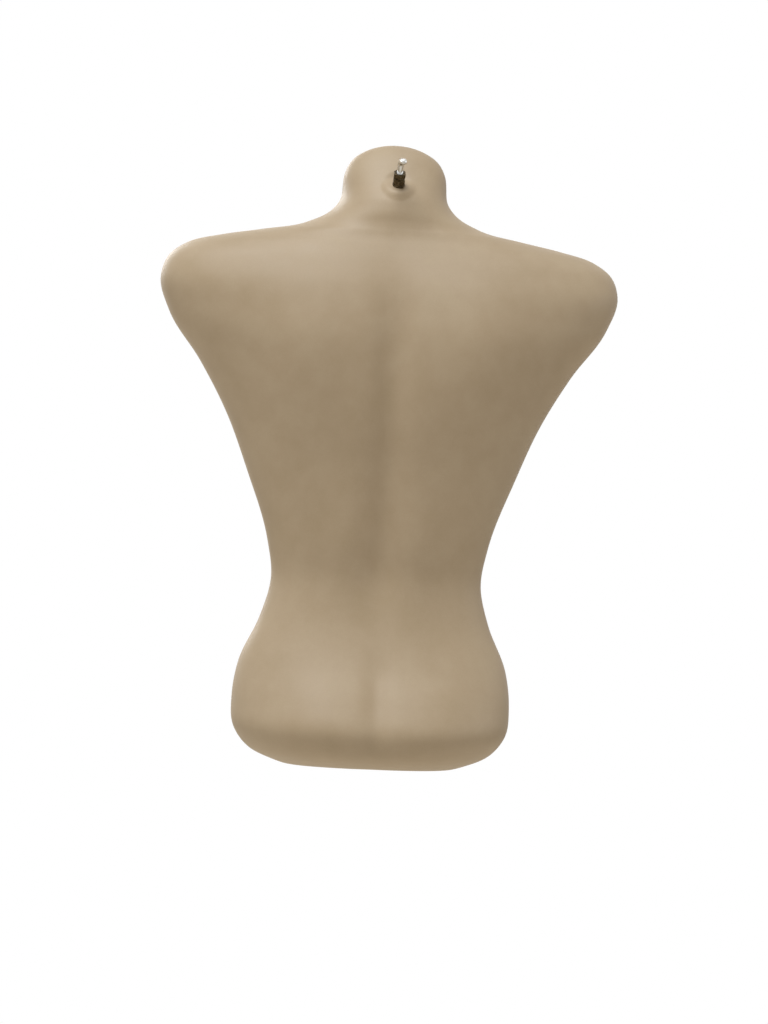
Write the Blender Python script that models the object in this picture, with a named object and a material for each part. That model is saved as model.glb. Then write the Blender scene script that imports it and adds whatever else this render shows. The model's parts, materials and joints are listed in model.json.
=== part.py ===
"""Hanging torso form: a headless, armless body of two moulded plastic half shells, joined on a flat
parting plane, with a bent steel hook bolted through the back of the neck.

Metres, +Z up.  The chest faces -Y and the back faces +Y.  The origin is the crook of the hook: the point
under the hook's arm that bears on the rail.  The design itself is drawn from the sole up, with the parting
plane at y = 0, and every piece is then placed relative to the crook.

Pieces on the hook: the hook, two outer nuts with a spring washer, two inner nuts.
Pieces on the torso: the two shells, the outer washer, the backing plate, the inner washer.
The torso turns on the hook's threaded stem.
"""

import math

import bmesh
import bpy
import numpy as np
from mathutils import Matrix, Vector

MM = 0.001

# ---------------------------------------------------------------- driving dimensions
HEIGHT = 610 * MM  # sole to the top of the neck
HALF_SHOULDER = 225 * MM  # half the width across the shoulders
BACK_DEPTH = 88 * MM  # parting plane to the fullest part of the back
FRONT_DEPTH = 92 * MM  # parting plane to the fullest part of the chest
WALL = 2.5 * MM  # moulded wall
SEAM_GAP = 0.3 * MM  # between the two shells' rims
SEAT_GAP = 0.3 * MM  # between faces that bear on each other

ROD_RADIUS = 3.0 * MM  # M6 stem
HOLE_CLEARANCE = 0.35 * MM  # stem in the hole through the boss
BORE_CLEARANCE = 0.3 * MM  # stem in nuts and washers
STEM_ELEVATION = math.radians(50)  # of the stem above the horizontal
STEM_SECTION = "neck"  # the stem comes out of the middle of the back at this section
STEM_OUT = 28 * MM  # seat to the corner of the bend
BEND_RADIUS = 8 * MM
ARM_LENGTH = 30 * MM  # corner of the bend to the tip
CROOK_REACH = 16.5 * MM  # corner of the bend to the place that bears on the rail
ARM_ELEVATION = math.radians(-8)  # the arm droops a little, so that a rail stays on it

BOSS_RADIUS = 11 * MM
BOSS_PROUD = 1.6 * MM  # outer seat above the shell's outer face
BOSS_DEEP = 4.5 * MM  # inner seat below the shell's inner face
NUT_FLATS = 11 * MM
NUT_THICK = 5 * MM
NUT_CHAMFER = math.radians(30)
LOCK_NUT_THICK = 6.5 * MM
LOCK_COLLAR = 1.8 * MM  # the round top of the self-locking nut
WASHER_THICK = 1.6 * MM
WASHER_RADIUS = 6.0 * MM
BIG_WASHER_RADIUS = 9.0 * MM
SPRING_WASHER_THICK = 1.6 * MM
SPRING_WASHER_RADIUS = 5.6 * MM
PLATE_SIDE = 24 * MM
PLATE_THICK = 2.0 * MM
PLATE_CORNER = 5 * MM
STEM_SPARE = 3.0 * MM  # thread past the last inner nut

TAB_PLACES = (0.167, 0.307, 0.485, 0.612)  # of the locating tabs, as shares of the height
TAB_LENGTH = 12 * MM
TAB_REACH = 4.0 * MM  # past the parting plane, into the front shell
TAB_ROOT = 8.0 * MM  # up the back shell's wall
TAB_THICK = 1.5 * MM
TAB_CLEARANCE = 1.2 * MM  # between a tab and the front shell's wall

RINGS_PER_SPAN = 2  # loops of the shell mesh between two sections
COLUMNS = 22  # faces across each shell
ROUND_SIDES = 32  # of washers, the boss and holes
NUT_SIDES = 36
ROD_SIDES = 24
BEND_STEPS = 8
TIP_STEPS = 5

# ---------------------------------------------------------------- the body's sections
# Each section: height and half width as shares of the whole, depth of the back and of the front as
# shares of the fullest, and squareness (2 is an ellipse, more is boxier).
SECTIONS = (
    ("sole_centre", 0.000, 0.000, 0.000, 0.000, 2.2),
    ("sole_edge", 0.000, 0.345, 0.470, 0.390, 2.2),
    ("under_roll", 0.009, 0.438, 0.700, 0.540, 2.2),
    ("low_roll", 0.026, 0.532, 0.870, 0.650, 2.2),
    ("hip_roll", 0.058, 0.596, 0.960, 0.720, 2.3),
    ("hip", 0.104, 0.607, 0.850, 0.750, 2.3),
    ("high_hip", 0.160, 0.586, 0.680, 0.740, 2.3),
    ("flank", 0.236, 0.499, 0.525, 0.680, 2.3),
    ("waist", 0.298, 0.459, 0.500, 0.640, 2.3),
    ("low_ribs", 0.358, 0.483, 0.585, 0.650, 2.3),
    ("ribs", 0.470, 0.588, 0.735, 0.750, 2.3),
    ("low_chest", 0.557, 0.685, 0.870, 0.850, 2.3),
    ("chest", 0.640, 0.812, 0.935, 0.900, 2.4),
    ("armpit", 0.718, 0.957, 0.930, 0.850, 2.6),
    ("shoulder", 0.772, 1.000, 0.860, 0.730, 2.8),
    ("shoulder_top", 0.804, 0.972, 0.780, 0.610, 2.7),
    ("shoulder_crown", 0.826, 0.896, 0.715, 0.540, 2.4),
    ("slope_outer", 0.841, 0.757, 0.670, 0.500, 2.2),
    ("slope_mid", 0.853, 0.583, 0.645, 0.475, 2.2),
    ("slope_inner", 0.869, 0.382, 0.625, 0.460, 2.2),
    ("neck_root", 0.893, 0.266, 0.610, 0.460, 2.2),
    ("nape", 0.912, 0.231, 0.565, 0.475, 2.2),
    ("neck", 0.928, 0.227, 0.475, 0.490, 2.2),
    ("upper_neck", 0.950, 0.222, 0.380, 0.475, 2.2),
    ("neck_crown", 0.974, 0.190, 0.280, 0.400, 2.2),
    ("crown_edge", 0.992, 0.115, 0.165, 0.235, 2.2),
    ("crown", 1.000, 0.000, 0.000, 0.000, 2.2),
)
FLAT_SECTIONS = 2  # the sole's centre and edge lie in one plane


def section_table():
    """Height, half width, back depth, front depth and squareness of each section, in metres."""
    shares = np.array([section[1:] for section in SECTIONS])
    return shares * np.array([HEIGHT, HALF_SHOULDER, BACK_DEPTH, FRONT_DEPTH, 1.0])


def section_curve():
    """Knots, values and slopes of a cubic through the sections, by chord length of the outline.

    The table is continued past both ends by its mirror image, so that the outline crosses the middle level.
    """
    table = section_table()
    mirror = np.array([1.0, -1.0, -1.0, -1.0, 1.0])
    points = np.vstack([table[1] * mirror, table, table[-2] * mirror])
    chord = np.hypot(np.diff(points[:, 0]), np.diff(points[:, 1]))
    knots = np.concatenate([[0.0], np.cumsum(chord)])
    rise = np.diff(points, axis=0) / chord[:, None]
    before, after = chord[:-1, None], chord[1:, None]
    slopes = (rise[:-1] * after + rise[1:] * before) / (before + after)
    slopes[:FLAT_SECTIONS, 0] = 0.0
    slopes[-1, 0] = 0.0
    return knots[1:-1] - knots[1], table, slopes


KNOTS, TABLE, SLOPES = section_curve()


def body_section(along):
    """Height, half width, back depth, front depth and squareness at distances along the outline."""
    along = np.asarray(along, float)
    span = np.clip(np.searchsorted(KNOTS, along, side="right") - 1, 0, len(KNOTS) - 2)
    length = KNOTS[span + 1] - KNOTS[span]
    t = ((along - KNOTS[span]) / length)[:, None]
    start, end = TABLE[span], TABLE[span + 1]
    out, into = SLOPES[span] * length[:, None], SLOPES[span + 1] * length[:, None]
    values = (
        start * (2 * t**3 - 3 * t**2 + 1)
        + out * (t**3 - 2 * t**2 + t)
        + end * (3 * t**2 - 2 * t**3)
        + into * (t**3 - t**2)
    )
    return values.T


# ---------------------------------------------------------------- the muscles' relief
# Places and widths of the relief are shares: side of the half width, up of the height.
def mound(side, up, centre, spread):
    """A smooth mound of height 1 at centre, spread to either side of it."""
    return np.exp(-(((side - centre[0]) / spread[0]) ** 2) - ((up - centre[1]) / spread[1]) ** 2)


def groove(side, up, spread, low, high, soft):
    """A trough of depth 1 along the middle, between two heights, that ends softly."""
    ends = 1 / (1 + np.exp((low - up) / soft)) / (1 + np.exp((up - high) / soft))
    return -np.exp(-((side / spread) ** 2)) * ends


def back_relief(side, up):
    """Spine groove, shoulder blades, muscle columns beside the spine, buttocks and the cleft between them."""
    spine = 9 * MM * groove(side, up, 0.080, 0.290, 0.750, 0.032)
    cleft = 4 * MM * groove(side, up, 0.053, 0.010, 0.170, 0.016)
    blades = 8 * MM * mound(side, up, (0.369, 0.664), (0.213, 0.102))
    columns = 3 * MM * mound(side, up, (0.165, 0.345), (0.089, 0.105))
    buttocks = 5 * MM * mound(side, up, (0.280, 0.082), (0.187, 0.062))
    return spine + cleft + blades + columns + buttocks


def front_relief(side, up):
    """Breast muscles, breastbone groove, belly line, belly muscles and collar bones."""
    breastbone = 4 * MM * groove(side, up, 0.062, 0.566, 0.770, 0.020)
    belly_line = 2 * MM * groove(side, up, 0.044, 0.246, 0.557, 0.025)
    breasts = 8 * MM * mound(side, up, (0.333, 0.664), (0.222, 0.066))
    belly = 3 * MM * mound(side, up, (0.133, 0.443), (0.098, 0.107))
    collar_bones = 4 * MM * mound(side, up, (0.311, 0.820), (0.267, 0.015))
    return breastbone + belly_line + breasts + belly + collar_bones


# ---------------------------------------------------------------- the moulded skin
def skin(along, angle, is_back):
    """Points of the outer skin.  along runs up the outline from the sole's centre to the crown, and angle
    from 0 at the right-hand rim to pi at the left.  The section is x = w |cos|^(2/n), y = d |sin|^(2/n), and
    the relief is added to y, fading to nothing at the rim.
    """
    height, width, back, front, square = body_section(along)
    cosine, sine = np.cos(angle), np.abs(np.sin(angle))
    power = 2 / square
    x = width * np.sign(cosine) * np.abs(cosine) ** power
    depth, muscles, facing = (back, back_relief, 1) if is_back else (front, front_relief, -1)
    relief = muscles(np.abs(x) / HALF_SHOULDER, height / HEIGHT)
    fade = sine**1.5 * np.clip(depth / (0.4 * BACK_DEPTH), 0, 1) ** 2
    y = depth * sine**power + relief * fade
    return np.stack([x, facing * (y + SEAM_GAP / 2), height], axis=-1)


def skin_normals(along, angle, is_back):
    """Unit outward normals of the skin, by central differences.  At the rim they lie in the parting plane."""
    step = 1e-5
    inside = np.clip(angle, step, math.pi - step)
    up = np.clip(along, step, KNOTS[-1] - step)
    d_along = skin(up + step, inside, is_back) - skin(up - step, inside, is_back)
    d_angle = skin(up, inside + step, is_back) - skin(up, inside - step, is_back)
    normal = np.cross(d_angle, d_along) if is_back else np.cross(d_along, d_angle)
    at_rim = (angle < step) | (angle > math.pi - step)
    normal[at_rim, 1] = 0.0
    normal[along <= step] = (0, 0, -1)
    normal[along >= KNOTS[-1] - step] = (0, 0, 1)
    return normal / np.linalg.norm(normal, axis=1)[:, None]


def ring_stations():
    """Distances along the outline at which the shell mesh has a loop."""
    spans = [
        np.linspace(start, end, RINGS_PER_SPAN, endpoint=False)
        for start, end in zip(KNOTS[:-1], KNOTS[1:])
    ]
    return np.concatenate([*spans, KNOTS[-1:]])


def band_faces(rings, around, closed=False):
    """Quads between rings of that many points each.  closed joins the last ring to the first."""
    return [
        (
            ring * around + step,
            ring * around + (step + 1) % around,
            (ring + 1) % rings * around + (step + 1) % around,
            (ring + 1) % rings * around + step,
        )
        for ring in range(rings if closed else rings - 1)
        for step in range(around)
    ]


def shell_mesh(name, is_back):
    """One half shell: the outer skin, the same skin moved in by the wall, and a flat rim that joins them."""
    stations = ring_stations()
    along, angle = np.meshgrid(stations, np.linspace(0, math.pi, COLUMNS + 1), indexing="ij")
    along, angle = along.ravel(), angle.ravel()
    outer = skin(along, angle, is_back)
    inner = outer - WALL * skin_normals(along, angle, is_back)
    facing = 1 if is_back else -1
    inner[:, 1] = facing * np.maximum(facing * inner[:, 1], SEAM_GAP / 2)
    rows = len(stations)
    outer, inner = outer.reshape(rows, -1, 3), inner.reshape(rows, -1, 3)
    loops = np.concatenate([outer, inner[:, ::-1]], axis=1)
    return solid_from(name, loops.reshape(-1, 3), band_faces(rows, loops.shape[1]))


def solid_from(name, points, faces):
    """A mesh of those faces, with coincident points made one and its normals pointing out."""
    mesh = bpy.data.meshes.new(name)
    mesh.from_pydata([tuple(point) for point in points], [], faces)
    work = bmesh.new()
    work.from_mesh(mesh)
    bmesh.ops.remove_doubles(work, verts=work.verts, dist=1e-6)
    bmesh.ops.dissolve_degenerate(work, edges=work.edges, dist=1e-6)
    bmesh.ops.triangulate(work, faces=work.faces)
    bmesh.ops.recalc_face_normals(work, faces=work.faces)
    work.to_mesh(mesh)
    work.free()
    return mesh


# ---------------------------------------------------------------- where the stem stands
STEM = Vector((0.0, math.cos(STEM_ELEVATION), math.sin(STEM_ELEVATION)))
STEM_TURN = (STEM_ELEVATION - math.pi / 2, 0.0, 0.0)  # turns Z onto the stem
ARM = Vector((0.0, math.cos(ARM_ELEVATION), math.sin(ARM_ELEVATION)))
ARM_UP = Vector((0.0, -math.sin(ARM_ELEVATION), math.cos(ARM_ELEVATION)))


def skin_at_stem():
    """The point of the back's skin, in its middle, where the stem comes out."""
    names = [section[0] for section in SECTIONS]
    along = KNOTS[names.index(STEM_SECTION)]
    return Vector(skin(np.array([along]), np.array([math.pi / 2]), True)[0])


SKIN_POINT = skin_at_stem()
OUTER_SEAT = SKIN_POINT + STEM * BOSS_PROUD
INNER_SEAT = SKIN_POINT - STEM * (WALL + BOSS_DEEP)
CORNER = OUTER_SEAT + STEM * STEM_OUT
CROOK = CORNER + ARM * CROOK_REACH - ARM_UP * ROD_RADIUS


# ---------------------------------------------------------------- small turned and bent solids
def turned(name, profiles):
    """A ring about Z from its profiles at even turns, each a closed list of (radius, height) pairs."""
    turns = np.linspace(0, 2 * math.pi, len(profiles), endpoint=False)
    points = [
        (radius * math.cos(turn), radius * math.sin(turn), height)
        for turn, profile in zip(turns, profiles)
        for radius, height in profile
    ]
    return solid_from(name, points, band_faces(len(profiles), len(profiles[0]), closed=True))


def nut_profile(radius, thick, collar):
    """Half the section of a chamfered nut where its side is at that radius."""
    bore = ROD_RADIUS + BORE_CLEARANCE
    face_radius = NUT_FLATS * 0.48
    drop = (radius - face_radius) * math.tan(NUT_CHAMFER)
    hex_top = thick - collar
    profile = [(bore, 0), (face_radius, 0), (radius, drop), (radius, hex_top - drop), (face_radius, hex_top)]
    if collar:
        ring = face_radius - bore
        profile += [(bore + ring * 0.776, thick - collar * 0.3), (bore + ring * 0.36, thick)]
    return [*profile, (bore, thick)]


def hex_nut(name, thick, collar=0.0):
    """A chamfered hexagon nut on Z from 0 up to thick.  A collar is the round top of a self-locking nut."""
    turns = np.linspace(0, 2 * math.pi, NUT_SIDES, endpoint=False)
    off_side = (turns + math.pi / 6) % (math.pi / 3) - math.pi / 6  # from the middle of the nearest side
    radii = NUT_FLATS / 2 / np.cos(off_side)
    return turned(name, [nut_profile(radius, thick, collar) for radius in radii])


def washer(name, radius):
    """A flat washer on Z from 0 up to its thickness, with small chamfers."""
    bore, edge = ROD_RADIUS + BORE_CLEARANCE, WASHER_THICK * 0.15
    profile = [(bore, 0), (radius - edge, 0), (radius, edge), (radius, WASHER_THICK - edge)]
    profile += [(radius - edge, WASHER_THICK), (bore, WASHER_THICK)]
    return turned(name, [profile] * ROUND_SIDES)


def swept(name, rings):
    """A solid through rings of points of equal number, closed by a face at each end."""
    around = len(rings[0])
    faces = band_faces(len(rings), around)
    faces.append(tuple(range(around)))
    faces.append(tuple((len(rings) - 1) * around + step for step in range(around)))
    return solid_from(name, [point for ring in rings for point in ring], faces)


def spring_washer(name):
    """A split lock washer, pressed flat: a square-section ring with a slanted cut."""
    slit, slant = math.radians(7), math.radians(6)
    bore, radius, thick = ROD_RADIUS + BORE_CLEARANCE, SPRING_WASHER_RADIUS, SPRING_WASHER_THICK
    rings = []
    for turn in np.linspace(slit / 2, 2 * math.pi - slit / 2, ROUND_SIDES):
        low, high = turn - slant / 2, turn + slant / 2
        corners = ((bore, low, 0), (radius, low, 0), (radius, high, thick), (bore, high, thick))
        rings.append([(r * math.cos(lean), r * math.sin(lean), z) for r, lean, z in corners])
    return swept(name, rings)


def backing_plate(name):
    """A square steel plate with cut corners and a hole, on Z from 0 up to its thickness."""
    work = bmesh.new()
    bmesh.ops.create_cube(work, size=1.0)
    bmesh.ops.scale(work, vec=(PLATE_SIDE, PLATE_SIDE, PLATE_THICK), verts=work.verts)
    bmesh.ops.translate(work, vec=(0, 0, PLATE_THICK / 2), verts=work.verts)
    upright = [e for e in work.edges if abs(e.verts[0].co.z - e.verts[1].co.z) > PLATE_THICK / 2]
    bmesh.ops.bevel(work, geom=upright, offset=PLATE_CORNER, segments=3, affect="EDGES", profile=0.5)
    mesh = bpy.data.meshes.new(name)
    work.to_mesh(mesh)
    work.free()
    return mesh


def hook_path():
    """Points along the hook from its lower end, up the stem, round the bend and out to the tip."""
    inner_stack = PLATE_THICK + WASHER_THICK + NUT_THICK + LOCK_NUT_THICK + 4 * SEAT_GAP
    foot = INNER_SEAT - STEM * (inner_stack + STEM_SPARE)
    turn = STEM_ELEVATION - ARM_ELEVATION
    start = CORNER - STEM * (BEND_RADIUS * math.tan(turn / 2))
    outward = Vector((1, 0, 0)).cross(STEM) * BEND_RADIUS
    bend = [
        start - outward + Matrix.Rotation(-turn * step / BEND_STEPS, 3, "X") @ outward
        for step in range(BEND_STEPS + 1)
    ]
    return [foot, *bend, CORNER + ARM * ARM_LENGTH]


def hook_mesh(name):
    """A round bar swept along the hook's path, chamfered at the foot and domed at the tip, with its origin at
    the outer seat.
    """
    path = hook_path()
    directions = [(b - a).normalized() for a, b in zip(path[:-1], path[1:])]
    stations = [(path[0], directions[0], 0.72), (path[0] + directions[0] * MM, directions[0], 1.0)]
    for point, before, after in zip(path[1:-1], directions[:-1], directions[1:]):
        stations.append((point, (before + after).normalized(), 1.0))
    for angle in np.linspace(0, math.radians(72), TIP_STEPS):
        back = ROD_RADIUS * (1 - math.sin(angle))
        stations.append((path[-1] - directions[-1] * back, directions[-1], math.cos(angle)))
    across = Vector((ROD_RADIUS, 0, 0))
    rings = [
        [
            centre - OUTER_SEAT + Matrix.Rotation(turn, 3, direction) @ across * share
            for turn in np.linspace(0, 2 * math.pi, ROD_SIDES, endpoint=False)
        ]
        for centre, direction, share in stations
    ]
    return swept(name, rings)


def outline_at(height):
    """Distance along the outline at a height above the sole, past the sole's flat."""
    along = np.linspace(KNOTS[1], KNOTS[-1], 4000)
    return float(np.interp(height, body_section(along)[0], along))


def tab_mesh(name, place, facing):
    """A locating tab inside the back shell's rim: an L-shaped tongue that reaches past the parting plane and
    lies inside the front shell's wall.
    """
    root, clear = WALL / 2, WALL + TAB_CLEARANCE
    deep = clear + TAB_THICK
    profile = (
        (root, SEAM_GAP * 2),
        (clear, SEAM_GAP * 2),
        (clear, -TAB_REACH),
        (deep, -TAB_REACH),
        (deep, TAB_ROOT),
        (root, TAB_ROOT),
    )
    along = outline_at(place * HEIGHT)
    heights, widths, *_ = body_section(np.array([along - TAB_LENGTH / 2, along + TAB_LENGTH / 2]))
    low, high = (Vector((width, 0, height)) for width, height in zip(widths, heights))
    inwards = Vector((low.z - high.z, 0, high.x - low.x)).normalized()
    rings = [
        [(facing * (end + inwards * depth).x, y, (end + inwards * depth).z) for depth, y in profile]
        for end in (low, high)
    ]
    return swept(name, rings)


# ---------------------------------------------------------------- materials and placing
def finish(name, colour, roughness, metallic=0.0):
    """A plain Principled material."""
    made = bpy.data.materials.new(name)
    made.use_nodes = True
    shader = made.node_tree.nodes["Principled BSDF"]
    shader.inputs["Base Color"].default_value = (*colour, 1)
    shader.inputs["Roughness"].default_value = roughness
    shader.inputs["Metallic"].default_value = metallic
    return made


def put(mesh, location, material, parent=None, turn=None):
    """An object for that mesh, placed relative to the crook, shaded smooth."""
    made = bpy.data.objects.new(mesh.name, mesh)
    bpy.context.scene.collection.objects.link(made)
    made.location = location
    if turn is not None:
        made.rotation_euler = turn
    mesh.materials.append(material)
    mesh.shade_smooth()
    mesh.set_sharp_from_angle(angle=math.radians(32))
    if parent is not None:
        made.parent = parent
        made.matrix_parent_inverse = Matrix.Translation(-parent.location)
    return made


def guide(mesh, location, turn=(0.0, 0.0, 0.0)):
    """A solid that only shapes others: placed relative to the crook, drawn as wire and not built."""
    made = bpy.data.objects.new(mesh.name, mesh)
    bpy.context.scene.collection.objects.link(made)
    made.location = location
    made.rotation_euler = turn
    made.hide_render = True
    made.display_type = "WIRE"
    return made


def stem_guide(name, radius, low, high):
    """A round guide on the stem's axis between two heights above the outer seat."""
    mesh = turned(name, [[(0, low), (radius, low), (radius, high), (0, high)]] * ROUND_SIDES)
    return guide(mesh, OUTER_SEAT - CROOK, STEM_TURN)


def boolean(target, other, operation):
    """A live Boolean on target."""
    modifier = target.modifiers.new(other.name, "BOOLEAN")
    modifier.object = other
    modifier.operation = operation
    modifier.solver = "EXACT"


def build_shells(plastic, swivel):
    """The two shells: the back one has the boss, the hole through it and the locating tabs."""
    put(shell_mesh("front_shell", False), -CROOK, plastic, swivel)
    back = put(shell_mesh("back_shell", True), -CROOK, plastic, swivel)
    thickness = (OUTER_SEAT - INNER_SEAT).length
    boolean(back, stem_guide("boss_guide", BOSS_RADIUS, -thickness, 0), "UNION")
    hole = stem_guide("hole_guide", ROD_RADIUS + HOLE_CLEARANCE, -2 * thickness, thickness)
    boolean(back, hole, "DIFFERENCE")
    for number, place in enumerate(TAB_PLACES, start=1):
        for side, facing in (("right", 1), ("left", -1)):
            tab = guide(tab_mesh(f"tab_guide_{side}_{number}", place, facing), -CROOK)
            boolean(back, tab, "UNION")


def build_clamp(steel, dark, swivel):
    """What is under the wall, from the boss inwards: plate and washer on the torso, two nuts on the hook."""
    below = INNER_SEAT - STEM * (SEAT_GAP + PLATE_THICK) - CROOK
    plate = put(backing_plate("backing_plate"), below, steel, swivel, STEM_TURN)
    hole = stem_guide("plate_hole_guide", ROD_RADIUS + HOLE_CLEARANCE, -PLATE_SIDE, PLATE_SIDE)
    boolean(plate, hole, "DIFFERENCE")
    below -= STEM * (SEAT_GAP + WASHER_THICK)
    put(washer("inner_washer", BIG_WASHER_RADIUS), below, steel, swivel, STEM_TURN)
    below -= STEM * (SEAT_GAP + NUT_THICK)
    put(hex_nut("inner_nut", NUT_THICK), below, dark, turn=STEM_TURN)
    below -= STEM * SEAT_GAP
    upside_down = (STEM_TURN[0] + math.pi, 0.0, 0.0)
    put(hex_nut("inner_lock_nut", LOCK_NUT_THICK, LOCK_COLLAR), below, dark, turn=upside_down)


def build_hook(chrome, steel, dark, swivel):
    """The hook and what is on it outside the wall: a washer on the torso, then nut, spring washer and nut."""
    put(hook_mesh("hook"), OUTER_SEAT - CROOK, chrome)
    above = OUTER_SEAT + STEM * SEAT_GAP - CROOK
    put(washer("outer_washer", WASHER_RADIUS), above, steel, swivel, STEM_TURN)
    above += STEM * (WASHER_THICK + SEAT_GAP)
    put(hex_nut("outer_nut", NUT_THICK), above, dark, turn=STEM_TURN)
    above += STEM * (NUT_THICK + SEAT_GAP)
    put(spring_washer("spring_washer"), above, dark, turn=STEM_TURN)
    above += STEM * (SPRING_WASHER_THICK + SEAT_GAP)
    put(hex_nut("outer_lock_nut", NUT_THICK), above, dark, turn=STEM_TURN)


def main():
    for old in list(bpy.data.objects):
        bpy.data.objects.remove(old)
    plastic = finish("moulded_plastic", (0.46, 0.37, 0.26), 0.5)
    steel = finish("zinc_steel", (0.55, 0.55, 0.53), 0.35, 1.0)
    chrome = finish("chromed_steel", (0.75, 0.75, 0.75), 0.12, 1.0)
    dark = finish("darkened_steel", (0.14, 0.12, 0.08), 0.4, 1.0)
    swivel = bpy.data.objects.new("torso_swivel", None)
    bpy.context.scene.collection.objects.link(swivel)
    swivel.location = OUTER_SEAT - CROOK
    build_shells(plastic, swivel)
    build_clamp(steel, dark, swivel)
    build_hook(chrome, steel, dark, swivel)


main()
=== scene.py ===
"""Looks of a hanging torso form: two fine half shells of moulded plastic, a chromed hook with a rolled M6
thread, and its nuts and washers.

Metres, +Z up, in the frame's own axes: the chest faces -Y, the back faces +Y, and the origin is the crook of
the hook.  The body's surface is one formula, worked out on a fine grid: sections up the outline, rounded as
superellipses, with the muscles' relief added to the depth.
"""

import json
import math

import bmesh
import bpy
import numpy as np
from mathutils import Matrix, Vector


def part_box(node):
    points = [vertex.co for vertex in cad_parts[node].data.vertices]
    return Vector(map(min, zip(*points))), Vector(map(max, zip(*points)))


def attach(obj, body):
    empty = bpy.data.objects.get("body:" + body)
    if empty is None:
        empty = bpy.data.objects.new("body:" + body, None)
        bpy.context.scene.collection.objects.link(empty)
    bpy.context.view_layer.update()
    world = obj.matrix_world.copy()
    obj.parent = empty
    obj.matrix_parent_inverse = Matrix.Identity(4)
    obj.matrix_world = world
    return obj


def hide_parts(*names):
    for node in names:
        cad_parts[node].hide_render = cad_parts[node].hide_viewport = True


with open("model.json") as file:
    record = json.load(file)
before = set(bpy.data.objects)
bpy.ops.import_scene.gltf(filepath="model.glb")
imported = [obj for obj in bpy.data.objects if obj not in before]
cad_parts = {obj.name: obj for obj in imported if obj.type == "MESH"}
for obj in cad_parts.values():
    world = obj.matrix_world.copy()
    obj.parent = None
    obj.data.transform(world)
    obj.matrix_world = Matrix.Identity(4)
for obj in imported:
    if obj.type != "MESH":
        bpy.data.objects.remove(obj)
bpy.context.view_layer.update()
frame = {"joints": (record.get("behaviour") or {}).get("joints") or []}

MM = 0.001

# ---------------------------------------------------------------- sizes, from the frame where it has them
BACK_LOW, BACK_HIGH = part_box("back_shell")
FRONT_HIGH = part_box("front_shell")[1]
SEAM_GAP = 0.3 * MM
PARTING = FRONT_HIGH.y + SEAM_GAP / 2  # the plane between the two shells
SOLE = BACK_LOW.z
HEIGHT = BACK_HIGH.z - BACK_LOW.z
HALF_SHOULDER = (BACK_HIGH.x - BACK_LOW.x) / 2
BACK_DEPTH = 88 * MM
FRONT_DEPTH = 92 * MM
WALL = 2.5 * MM
RIM_TOUCH = 0.02 * MM  # from the parting plane to each rim's inner edge, so that no light passes the seam
RIM_RADIUS = 0.7 * MM  # rounding of each shell's rim, which makes the seam a fine groove

SWIVEL = frame["joints"][0]
SEAT = np.array(SWIVEL["pos_m"])  # middle of the outer seat, on the stem's axis
STEM = np.array(SWIVEL["axis"]) / np.linalg.norm(SWIVEL["axis"])
STEM_ELEVATION = math.asin(STEM[2])
ACROSS = np.array([1.0, 0.0, 0.0])
BENT = np.cross(STEM, ACROSS)  # square to the stem, in the middle plane, to the side that the arm bends to

BOSS_RADIUS = 10 * MM
BOSS_FILLET = 8 * MM
BOSS_THICK = 8.6 * MM  # outer seat to inner seat
HOLE_RADIUS = 3.35 * MM

ROD_RADIUS = 3.0 * MM
STEM_OUT = 28 * MM
BEND_RADIUS = 8 * MM
ARM_LENGTH = 30 * MM
ARM_ELEVATION = math.radians(-8)
THREAD_PITCH = 1.0 * MM
THREAD_DEPTH = 0.5 * MM
THREAD_TOP = 18 * MM  # the thread ends a little above the outer nuts
NUT_FLATS = 11 * MM
NUT_THICK = 5 * MM
LOCK_NUT_THICK = 6.5 * MM
LOCK_COLLAR = 1.8 * MM
NUT_BORE = 3.08 * MM
WASHER_BORE = 3.2 * MM
WASHER_THICK = 1.6 * MM
WASHER_RADIUS = 6 * MM
BIG_WASHER_RADIUS = 9 * MM
SPRING_WASHER_RADIUS = 5.6 * MM
PLATE_THICK = 2 * MM
PLATE_SIDE = 24 * MM
SEAT_GAP = 0.3 * MM
STEM_SPARE = 3 * MM

# ---------------------------------------------------------------- the plain stage, in metres and watts
FILL_COLOUR = (1.0, 0.76, 0.46)
FILL_STRENGTH = 0.11
FLOOR_DROP = 0.95
CAMERA_DISTANCE = 3.0
CAMERA_AZIMUTH = math.radians(175)
CAMERA_ROLL = math.radians(2.7)
FRAME_TALL = 1.0065  # metres of the object's plane that the frame's height takes in
AIM_ACROSS = 0.002  # of the view's centre from the body's, to the view's right
AIM_UP = -0.055
KEY_PLACE = Vector((1.10, 2.50, 4.95))  # from the body's middle
KEY_SIZE, KEY_POWER = 3.2, 290.0
LEFT_PLACE, LEFT_POWER = Vector((2.0, 0.35, 0.45)), 4.0
RIGHT_PLACE, RIGHT_POWER = Vector((-2.0, 0.35, 0.25)), 5.0
SIDE_SIZE = 0.8
FRONT_PLACE, FRONT_SIZE, FRONT_POWER = Vector((1.60, -2.60, 1.30)), 1.5, 42.0
LAMP_COLOUR = (0.97, 0.985, 1.0)

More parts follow.
